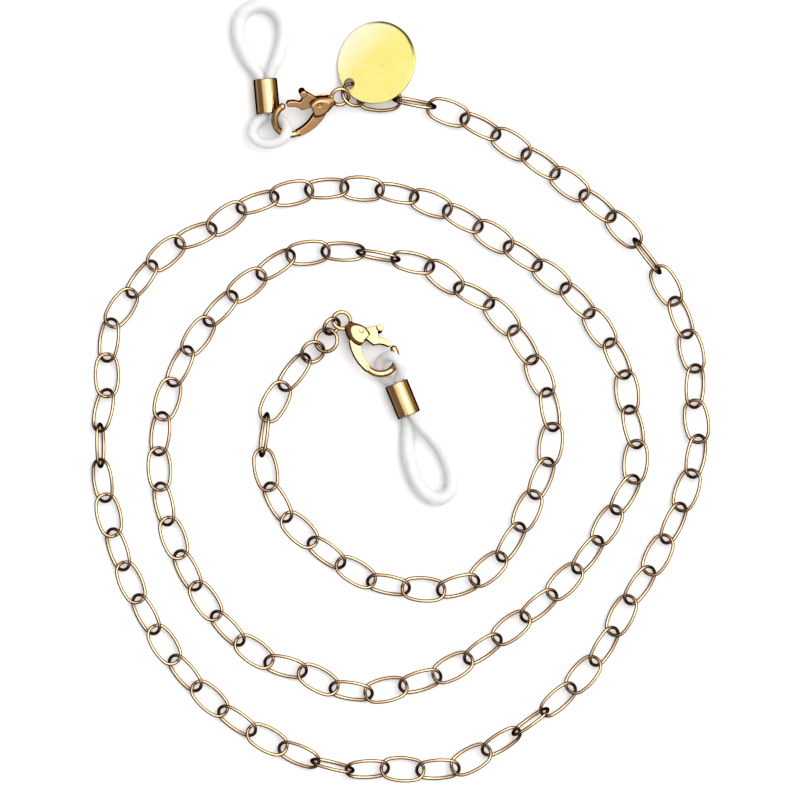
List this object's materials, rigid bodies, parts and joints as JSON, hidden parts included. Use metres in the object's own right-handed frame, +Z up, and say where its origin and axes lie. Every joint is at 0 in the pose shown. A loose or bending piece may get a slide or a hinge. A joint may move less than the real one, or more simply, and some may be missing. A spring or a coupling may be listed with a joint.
{
  "type": "eyeglasses chain strap",
  "caption": "Eyeglasses neck chain of oval wire links with a lobster clasp, ferrule and silicone temple loop at each end, and a round disc tag.",
  "frame": {"origin": "on the table under the middle of the bounding box of the coiled strap", "axes": "+Z up from the table; the chain lies coiled in the XY plane; +Y from the middle towards end A's side of the coil, +X to the right seen from above"},
  "size_m": [0.0928, 0.1176, 0.0058],
  "materials": {
    "chain_wire": "polished rose-gold plating",
    "ring_wire": "polished rose-gold plating",
    "tag": "polished pale-gold plating",
    "clasp": "polished rose-gold plating",
    "spring": "drawn spring wire",
    "silicone": "smooth translucent silicone",
    "ferrule": "polished rose-gold plating"
  },
  "bodies": {
    "chain_links_01": {"chain_links_01": "chain_wire"},
    "chain_links_02": {"chain_links_02": "chain_wire"},
    "chain_links_03": {"chain_links_03": "chain_wire"},
    "chain_links_04": {"chain_links_04": "chain_wire"},
    "chain_links_05": {"chain_links_05": "chain_wire"},
    "chain_links_06": {"chain_links_06": "chain_wire"},
    "chain_links_07": {"chain_links_07": "chain_wire"},
    "chain_links_08": {"chain_links_08": "chain_wire"},
    "chain_links_09": {"chain_links_09": "chain_wire"},
    "chain_links_10": {"chain_links_10": "chain_wire"},
    "chain_links_11": {"chain_links_11": "chain_wire"},
    "chain_links_12": {"chain_links_12": "chain_wire"},
    "chain_links_13": {"chain_links_13": "chain_wire"},
    "chain_links_14": {"chain_links_14": "chain_wire"},
    "chain_links_15": {"chain_links_15": "chain_wire"},
    "chain_links_16": {"chain_links_16": "chain_wire"},
    "chain_links_17": {"chain_links_17": "chain_wire"},
    "chain_links_18": {"chain_links_18": "chain_wire"},
    "chain_links_19": {"chain_links_19": "chain_wire"},
    "chain_links_20": {"chain_links_20": "chain_wire"},
    "chain_links_21": {"chain_links_21": "chain_wire"},
    "chain_links_22": {"chain_links_22": "chain_wire"},
    "chain_links_23": {"chain_links_23": "chain_wire"},
    "chain_links_24": {"chain_links_24": "chain_wire"},
    "chain_links_25": {"chain_links_25": "chain_wire"},
    "chain_links_26": {"chain_links_26": "chain_wire"},
    "chain_links_27": {"chain_links_27": "chain_wire"},
    "chain_links_28": {"chain_links_28": "chain_wire"},
    "chain_links_29": {"chain_links_29": "chain_wire"},
    "chain_links_30": {"chain_links_30": "chain_wire"},
    "chain_links_31": {"chain_links_31": "chain_wire"},
    "chain_links_32": {"chain_links_32": "chain_wire"},
    "chain_links_33": {"chain_links_33": "chain_wire"},
    "chain_links_34": {"chain_links_34": "chain_wire"},
    "chain_links_35": {"chain_links_35": "chain_wire"},
    "chain_links_36": {"chain_links_36": "chain_wire"},
    "chain_links_37": {"chain_links_37": "chain_wire"},
    "chain_links_38": {"chain_links_38": "chain_wire"},
    "chain_links_39": {"chain_links_39": "chain_wire"},
    "chain_links_40": {"chain_links_40": "chain_wire"},
    "end_ring_a": {"end_ring_a": "ring_wire"},
    "tag_disc": {"tag_disc": "tag"},
    "clasp_a": {"clasp_body_a": "clasp", "trigger_pin_a": "clasp", "trigger_spring_a": "spring"},
    "clasp_trigger_a": {"clasp_trigger_a": "clasp"},
    "temple_loop_a": {"temple_loop_a": "silicone"},
    "ferrule_a": {"ferrule_a": "ferrule"},
    "chain_ring_b": {"chain_ring_b": "ring_wire"},
    "middle_ring_b": {"middle_ring_b": "ring_wire"},
    "clasp_ring_b": {"clasp_ring_b": "ring_wire"},
    "clasp_b": {"clasp_body_b": "clasp", "trigger_pin_b": "clasp", "trigger_spring_b": "spring"},
    "clasp_trigger_b": {"clasp_trigger_b": "clasp"},
    "temple_loop_b": {"temple_loop_b": "silicone"},
    "ferrule_b": {"ferrule_b": "ferrule"}
  },
  "joints": [
    {"name": "bend_01", "type": "hinge", "parent": "chain_links_02", "child": "chain_links_01", "pos_m": [0.0096, 0.04075, 0.0016], "axis": [-0.4027, -0.9153, 0], "range_deg": [-40, 40]},
    {"name": "bend_02", "type": "hinge", "parent": "chain_links_03", "child": "chain_links_02", "pos_m": [0.02317, 0.03245, 0.0016], "axis": [0.578, 0.816, 0], "range_deg": [-40, 40]},
    {"name": "bend_03", "type": "hinge", "parent": "chain_links_04", "child": "chain_links_03", "pos_m": [0.03532, 0.02223, 0.0021], "axis": [-0.7523, -0.6588, 0], "range_deg": [-40, 40]},
    {"name": "bend_04", "type": "hinge", "parent": "chain_links_05", "child": "chain_links_04", "pos_m": [0.043, 0.00842, 0.0016], "axis": [0.9541, 0.2995, 0], "range_deg": [-40, 40]},
    {"name": "bend_05", "type": "hinge", "parent": "chain_links_06", "child": "chain_links_05", "pos_m": [0.04473, -0.00731, 0.0016], "axis": [-0.9998, 0.0215, 0], "range_deg": [-40, 40]},
    {"name": "bend_06", "type": "hinge", "parent": "chain_links_07", "child": "chain_links_06", "pos_m": [0.03978, -0.02236, 0.0016], "axis": [0.8978, -0.4405, 0], "range_deg": [-40, 40]},
    {"name": "bend_07", "type": "hinge", "parent": "chain_links_08", "child": "chain_links_07", "pos_m": [0.03189, -0.03617, 0.0016], "axis": [-0.8715, 0.4904, 0], "range_deg": [-40, 40]},
    {"name": "bend_08", "type": "hinge", "parent": "chain_links_09", "child": "chain_links_08", "pos_m": [0.0216, -0.04813, 0.0021], "axis": [0.6205, -0.7842, 0], "range_deg": [-40, 40]},
    {"name": "bend_09", "type": "hinge", "parent": "chain_links_10", "child": "chain_links_09", "pos_m": [0.00823, -0.05671, 0.0016], "axis": [-0.2816, 0.9595, 0], "range_deg": [-40, 40]},
    {"name": "bend_10", "type": "hinge", "parent": "chain_links_11", "child": "chain_links_10", "pos_m": [-0.00766, -0.05692, 0.0021], "axis": [-0.1007, -0.9949, 0], "range_deg": [-40, 40]},
    {"name": "bend_11", "type": "hinge", "parent": "chain_links_12", "child": "chain_links_11", "pos_m": [-0.02236, -0.05112, 0.0016], "axis": [0.5293, 0.8484, 0], "range_deg": [-40, 40]},
    {"name": "bend_12", "type": "hinge", "parent": "chain_links_13", "child": "chain_links_12", "pos_m": [-0.03401, -0.04039, 0.0016], "axis": [-0.8027, -0.5964, 0], "range_deg": [-40, 40]},
    {"name": "bend_13", "type": "hinge", "parent": "chain_links_14", "child": "chain_links_13", "pos_m": [-0.04156, -0.0264, 0.0016], "axis": [0.934, 0.3574, 0], "range_deg": [-40, 40]},
    {"name": "bend_14", "type": "hinge", "parent": "chain_links_15", "child": "chain_links_14", "pos_m": [-0.04502, -0.01093, 0.0021], "axis": [-0.9977, -0.0671, 0], "range_deg": [-40, 40]},
    {"name": "bend_15", "type": "hinge", "parent": "chain_links_16", "child": "chain_links_15", "pos_m": [-0.04409, 0.00487, 0.0016], "axis": [0.9981, -0.0613, 0], "range_deg": [-40, 40]},
    {"name": "bend_16", "type": "hinge", "parent": "chain_links_17", "child": "chain_links_16", "pos_m": [-0.03723, 0.01877, 0.0016], "axis": [-0.7295, 0.6839, 0], "range_deg": [-40, 40]},
    {"name": "bend_17", "type": "hinge", "parent": "chain_links_18", "child": "chain_links_17", "pos_m": [-0.02399, 0.02732, 0.0016], "axis": [0.4597, -0.8881, 0], "range_deg": [-40, 40]},
    {"name": "bend_18", "type": "hinge", "parent": "chain_links_19", "child": "chain_links_18", "pos_m": [-0.00845, 0.03042, 0.0016], "axis": [0.001, 1, 0], "range_deg": [-40, 40]},
    {"name": "bend_19", "type": "hinge", "parent": "chain_links_20", "child": "chain_links_19", "pos_m": [0.00699, 0.02703, 0.0016], "axis": [-0.4241, -0.9056, 0], "range_deg": [-40, 40]},
    {"name": "bend_20", "type": "hinge", "parent": "chain_links_20", "child": "chain_links_21", "pos_m": [0.02051, 0.01863, 0.0016], "axis": [0.587, 0.8096, 0], "range_deg": [-40, 40]},
    {"name": "bend_21", "type": "hinge", "parent": "chain_links_21", "child": "chain_links_22", "pos_m": [0.03131, 0.00711, 0.0016], "axis": [-0.8651, -0.5015, 0], "range_deg": [-40, 40]},
    {"name": "bend_22", "type": "hinge", "parent": "chain_links_22", "child": "chain_links_23", "pos_m": [0.03547, -0.0081, 0.0016], "axis": [0.9976, 0.0699, 0], "range_deg": [-40, 40]},
    {"name": "bend_23", "type": "hinge", "parent": "chain_links_23", "child": "chain_links_24", "pos_m": [0.02961, -0.02255, 0.0016], "axis": [-0.8355, 0.5495, 0], "range_deg": [-40, 40]},
    {"name": "bend_24", "type": "hinge", "parent": "chain_links_24", "child": "chain_links_25", "pos_m": [0.01868, -0.03404, 0.0016], "axis": [0.627, -0.779, 0], "range_deg": [-40, 40]},
    {"name": "bend_25", "type": "hinge", "parent": "chain_links_25", "child": "chain_links_26", "pos_m": [0.00546, -0.04286, 0.0016], "axis": [-0.3835, 0.9236, 0], "range_deg": [-40, 40]},
    {"name": "bend_26", "type": "hinge", "parent": "chain_links_26", "child": "chain_links_27", "pos_m": [-0.01005, -0.04469, 0.0016], "axis": [-0.3247, -0.9458, 0], "range_deg": [-40, 40]},
    {"name": "bend_27", "type": "hinge", "parent": "chain_links_27", "child": "chain_links_28", "pos_m": [-0.02414, -0.03766, 0.0016], "axis": [0.6606, 0.7507, 0], "range_deg": [-40, 40]},
    {"name": "bend_28", "type": "hinge", "parent": "chain_links_28", "child": "chain_links_29", "pos_m": [-0.03316, -0.02466, 0.0016], "axis": [-0.9174, -0.3979, 0], "range_deg": [-40, 40]},
    {"name": "bend_29", "type": "hinge", "parent": "chain_links_29", "child": "chain_links_30", "pos_m": [-0.03636, -0.00918, 0.0016], "axis": [0.9996, -0.0297, 0], "range_deg": [-40, 40]},
    {"name": "bend_30", "type": "hinge", "parent": "chain_links_30", "child": "chain_links_31", "pos_m": [-0.03192, 0.00596, 0.0016], "axis": [-0.861, 0.5086, 0], "range_deg": [-40, 40]},
    {"name": "bend_31", "type": "hinge", "parent": "chain_links_31", "child": "chain_links_32", "pos_m": [-0.02097, 0.01734, 0.0016], "axis": [0.5787, -0.8155, 0], "range_deg": [-40, 40]},
    {"name": "bend_32", "type": "hinge", "parent": "chain_links_32", "child": "chain_links_33", "pos_m": [-0.006, 0.02065, 0.0021], "axis": [0.1163, 0.9932, 0], "range_deg": [-40, 40]},
    {"name": "bend_33", "type": "hinge", "parent": "chain_links_33", "child": "chain_links_34", "pos_m": [0.00864, 0.01539, 0.0016], "axis": [-0.532, -0.8468, 0], "range_deg": [-40, 40]},
    {"name": "bend_34", "type": "hinge", "parent": "chain_links_34", "child": "chain_links_35", "pos_m": [0.01977, 0.00454, 0.0016], "axis": [0.8834, 0.4687, 0], "range_deg": [-40, 40]},
    {"name": "bend_35", "type": "hinge", "parent": "chain_links_35", "child": "chain_links_36", "pos_m": [0.0221, -0.01079, 0.0016], "axis": [-0.9644, 0.2645, 0], "range_deg": [-40, 40]},
    {"name": "bend_36", "type": "hinge", "parent": "chain_links_36", "child": "chain_links_37", "pos_m": [0.01515, -0.02508, 0.0016], "axis": [0.7673, -0.6413, 0], "range_deg": [-40, 40]},
    {"name": "bend_37", "type": "hinge", "parent": "chain_links_37", "child": "chain_links_38", "pos_m": [0.00076, -0.02969, 0.0016], "axis": [0.1331, 0.9911, 0], "range_deg": [-40, 40]},
    {"name": "bend_38", "type": "hinge", "parent": "chain_links_38", "child": "chain_links_39", "pos_m": [-0.01327, -0.02279, 0.0016], "axis": [-0.6429, -0.766, 0], "range_deg": [-40, 40]},
    {"name": "bend_39", "type": "hinge", "parent": "chain_links_39", "child": "chain_links_40", "pos_m": [-0.02079, -0.00932, 0.0021], "axis": [0.9993, 0.0384, 0], "range_deg": [-40, 40]},
    {"name": "ring_a_swing", "type": "hinge", "parent": "chain_links_01", "child": "end_ring_a", "pos_m": [-0.00562, 0.04462, 0.00171], "axis": [0.7219, 0.3939, 0.5689], "range_deg": [-30, 20]},
    {"name": "tag_swing", "type": "hinge", "parent": "end_ring_a", "child": "tag_disc", "pos_m": [-0.00827, 0.04566, 0.00199], "axis": [0.06, -0.155, 0.9861], "range_deg": [0, 48]},
    {"name": "clasp_a_swing", "type": "hinge", "parent": "end_ring_a", "child": "clasp_a", "pos_m": [-0.00857, 0.04476, 0.00293], "axis": [0.2149, -0.8897, 0.4029], "range_deg": [-30, 24]},
    {"name": "trigger_a_open", "type": "hinge", "parent": "clasp_a", "child": "clasp_trigger_a", "pos_m": [-0.01233, 0.04315, 0.00336], "axis": [-0.2033, 0.4291, -0.8801], "range_deg": [0, 28], "stiffness_Nm_per_rad": 0.0002, "springref_deg": -17.19, "deforming": ["trigger_spring_a"]},
    {"name": "loop_a_swing", "type": "hinge", "parent": "clasp_a", "child": "temple_loop_a", "pos_m": [-0.01822, 0.04034, 0.00314], "axis": [-0.7693, 0.5172, 0.3751], "range_deg": [-6, 16]},
    {"name": "ferrule_a_slide", "type": "slide", "parent": "temple_loop_a", "child": "ferrule_a", "axis": [-0.0906, 0.9959, 0], "range_m": [0, 0.003], "deforming": ["temple_loop_a"]},
    {"name": "chain_ring_b_swing", "type": "hinge", "parent": "chain_links_40", "child": "chain_ring_b", "pos_m": [-0.01429, 0.00486, 0.00165], "axis": [0.9722, -0.198, 0.125], "range_deg": [-33, 30]},
    {"name": "middle_ring_b_swing", "type": "hinge", "parent": "chain_ring_b", "child": "middle_ring_b", "pos_m": [-0.01181, 0.00615, 0.00175], "axis": [-0.5812, 0.7993, 0.153], "range_deg": [-33, 33]},
    {"name": "clasp_ring_b_swing", "type": "hinge", "parent": "middle_ring_b", "child": "clasp_ring_b", "pos_m": [-0.01098, 0.00882, 0.00201], "axis": [-0.9714, 0.025, 0.2361], "range_deg": [-24, 24]},
    {"name": "clasp_b_swing", "type": "hinge", "parent": "clasp_ring_b", "child": "clasp_b", "pos_m": [-0.00975, 0.01061, 0.00229], "axis": [-0.3439, 0.7859, 0.5139], "range_deg": [-21, 30]},
    {"name": "trigger_b_open", "type": "hinge", "parent": "clasp_b", "child": "clasp_trigger_b", "pos_m": [-0.00602, 0.00864, 0.00192], "axis": [0.1408, 0.2757, 0.9509], "range_deg": [0, 28], "stiffness_Nm_per_rad": 0.0002, "springref_deg": -17.19, "deforming": ["trigger_spring_b"]},
    {"name": "loop_b_swing", "type": "hinge", "parent": "clasp_b", "child": "temple_loop_b", "pos_m": [-0.00136, 0.00426, 0.00291], "axis": [-0.8529, -0.513, 0.097], "range_deg": [-20, 15]},
    {"name": "ferrule_b_slide", "type": "slide", "parent": "temple_loop_b", "child": "ferrule_b", "axis": [0.3778, -0.9259, 0], "range_m": [0, 0.003], "deforming": ["temple_loop_b"]}
  ]
}
